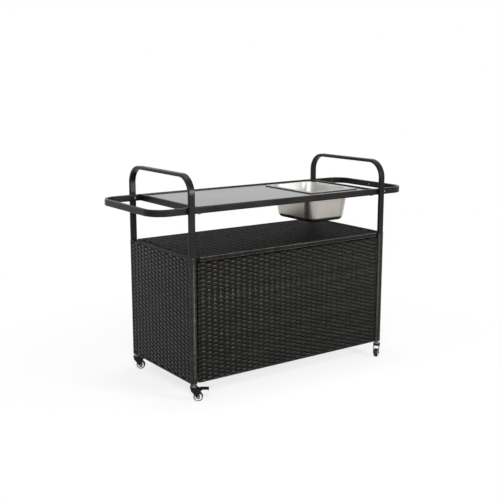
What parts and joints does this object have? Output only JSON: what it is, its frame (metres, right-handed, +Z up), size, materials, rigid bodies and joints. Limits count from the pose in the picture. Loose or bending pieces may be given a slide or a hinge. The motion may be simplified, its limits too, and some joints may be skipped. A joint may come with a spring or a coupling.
{
  "type": "wicker bar cart",
  "caption": "Rolling patio bar cart: bent tube end hoops with push handles, dark wicker cabinet with rear doors, grey glass top with a lift-out metal pan, swivel casters.",
  "frame": {"origin": "on the floor under the centre of the cabinet; the parked casters move the centre of the bounding box about 5 mm towards the front", "axes": "+X along the cart towards the pan end, +Y from the closed front towards the rear doors, +Z up"},
  "size_m": [1.32, 0.5614, 0.905],
  "materials": {
    "frame_paint": "satin black powder coat",
    "wicker": "woven flat resin strip, satin",
    "glass": "grey tempered glass, polished",
    "pan_steel": "pressed stainless, satin",
    "trim_rubber": "matt",
    "zinc_steel": "dull zinc plate",
    "caster_black": "black enamel",
    "wheel_hub": "gloss light grey",
    "tyre": "matt dark grey",
    "black_plastic": "matt"
  },
  "bodies": {
    "cart": {"back_table_rail": "frame_paint", "caster_stems": "zinc_steel", "door_catch": "black_plastic", "floor_panel_frame": "frame_paint", "floor_panel_wicker": "wicker", "front_panel_frame": "frame_paint", "front_panel_wicker": "wicker", "front_table_rail": "frame_paint", "glass_ledges": "frame_paint", "glass_top": "glass", "handle_screws": "zinc_steel", "hinge_post_leaves": "zinc_steel", "left_floor_side_rail": "frame_paint", "left_hoop": "frame_paint", "left_push_handle": "frame_paint", "left_side_wicker": "wicker", "left_table_rail": "frame_paint", "left_top_side_rail": "frame_paint", "pan_opening_trim": "trim_rubber", "panel_bolts": "zinc_steel", "panel_brackets": "zinc_steel", "post_end_plugs": "black_plastic", "post_wraps": "wicker", "rail_sleeves": "frame_paint", "right_floor_side_rail": "frame_paint", "right_hoop": "frame_paint", "right_push_handle": "frame_paint", "right_side_wicker": "wicker", "right_table_rail": "frame_paint", "right_top_side_rail": "frame_paint", "table_bolts": "zinc_steel", "top_panel_frame": "frame_paint", "top_panel_wicker": "wicker"},
    "front_left_caster": {"front_left_caster_fork": "caster_black", "front_left_axle": "zinc_steel"},
    "front_left_wheel": {"front_left_wheel_hub": "wheel_hub", "front_left_tyre": "tyre"},
    "front_left_brake": {"front_left_brake_pedal": "caster_black"},
    "back_left_caster": {"back_left_caster_fork": "caster_black", "back_left_axle": "zinc_steel"},
    "back_left_wheel": {"back_left_wheel_hub": "wheel_hub", "back_left_tyre": "tyre"},
    "back_left_brake": {"back_left_brake_pedal": "caster_black"},
    "front_right_caster": {"front_right_caster_fork": "caster_black", "front_right_axle": "zinc_steel"},
    "front_right_wheel": {"front_right_wheel_hub": "wheel_hub", "front_right_tyre": "tyre"},
    "back_right_caster": {"back_right_caster_fork": "caster_black", "back_right_axle": "zinc_steel"},
    "back_right_wheel": {"back_right_wheel_hub": "wheel_hub", "back_right_tyre": "tyre"},
    "left_door": {"left_door_frame": "frame_paint", "left_door_wicker": "wicker", "left_door_knob": "frame_paint", "left_door_leaves": "zinc_steel"},
    "right_door": {"right_door_frame": "frame_paint", "right_door_wicker": "wicker", "right_door_knob": "frame_paint", "right_door_leaves": "zinc_steel"},
    "pan": {"pan": "pan_steel"}
  },
  "joints": [
    {"name": "front_left_swivel", "type": "hinge", "parent": "cart", "child": "front_left_caster", "pos_m": [-0.4965, -0.23925, 0.0555], "axis": [0, 0, 1], "continuous": true},
    {"name": "front_left_roll", "type": "hinge", "parent": "front_left_caster", "child": "front_left_wheel", "pos_m": [-0.48257, -0.249, 0.019], "axis": [0.5736, 0.8192, 0], "continuous": true},
    {"name": "front_left_brake_press", "type": "hinge", "parent": "front_left_caster", "child": "front_left_brake", "pos_m": [-0.4793, -0.2513, 0.0416], "axis": [0.5736, 0.8192, 0], "range_deg": [0, 15]},
    {"name": "back_left_swivel", "type": "hinge", "parent": "cart", "child": "back_left_caster", "pos_m": [-0.4965, 0.23925, 0.0555], "axis": [0, 0, 1], "continuous": true},
    {"name": "back_left_roll", "type": "hinge", "parent": "back_left_caster", "child": "back_left_wheel", "pos_m": [-0.48257, 0.2295, 0.019], "axis": [0.5736, 0.8192, 0], "continuous": true},
    {"name": "back_left_brake_press", "type": "hinge", "parent": "back_left_caster", "child": "back_left_brake", "pos_m": [-0.4793, 0.2272, 0.0416], "axis": [0.5736, 0.8192, 0], "range_deg": [0, 15]},
    {"name": "front_right_swivel", "type": "hinge", "parent": "cart", "child": "front_right_caster", "pos_m": [0.4965, -0.23925, 0.0555], "axis": [0, 0, 1], "continuous": true},
    {"name": "front_right_roll", "type": "hinge", "parent": "front_right_caster", "child": "front_right_wheel", "pos_m": [0.48348, -0.25018, 0.019], "axis": [0.6428, -0.766, 0], "continuous": true},
    {"name": "back_right_swivel", "type": "hinge", "parent": "cart", "child": "back_right_caster", "pos_m": [0.4965, 0.23925, 0.0555], "axis": [0, 0, 1], "continuous": true},
    {"name": "back_right_roll", "type": "hinge", "parent": "back_right_caster", "child": "back_right_wheel", "pos_m": [0.4965, 0.25625, 0.019], "axis": [-1, 0, 0], "continuous": true},
    {"name": "left_door_hinge", "type": "hinge", "parent": "cart", "child": "left_door", "pos_m": [-0.478, 0.23, 0.317], "axis": [0, 0, 1], "range_deg": [0, 95]},
    {"name": "right_door_hinge", "type": "hinge", "parent": "cart", "child": "right_door", "pos_m": [0.478, 0.23, 0.317], "axis": [0, 0, -1], "range_deg": [0, 95]},
    {"name": "pan_lift", "type": "slide", "parent": "cart", "child": "pan", "axis": [0, 0, 1], "range_m": [0, 0.16]}
  ]
}
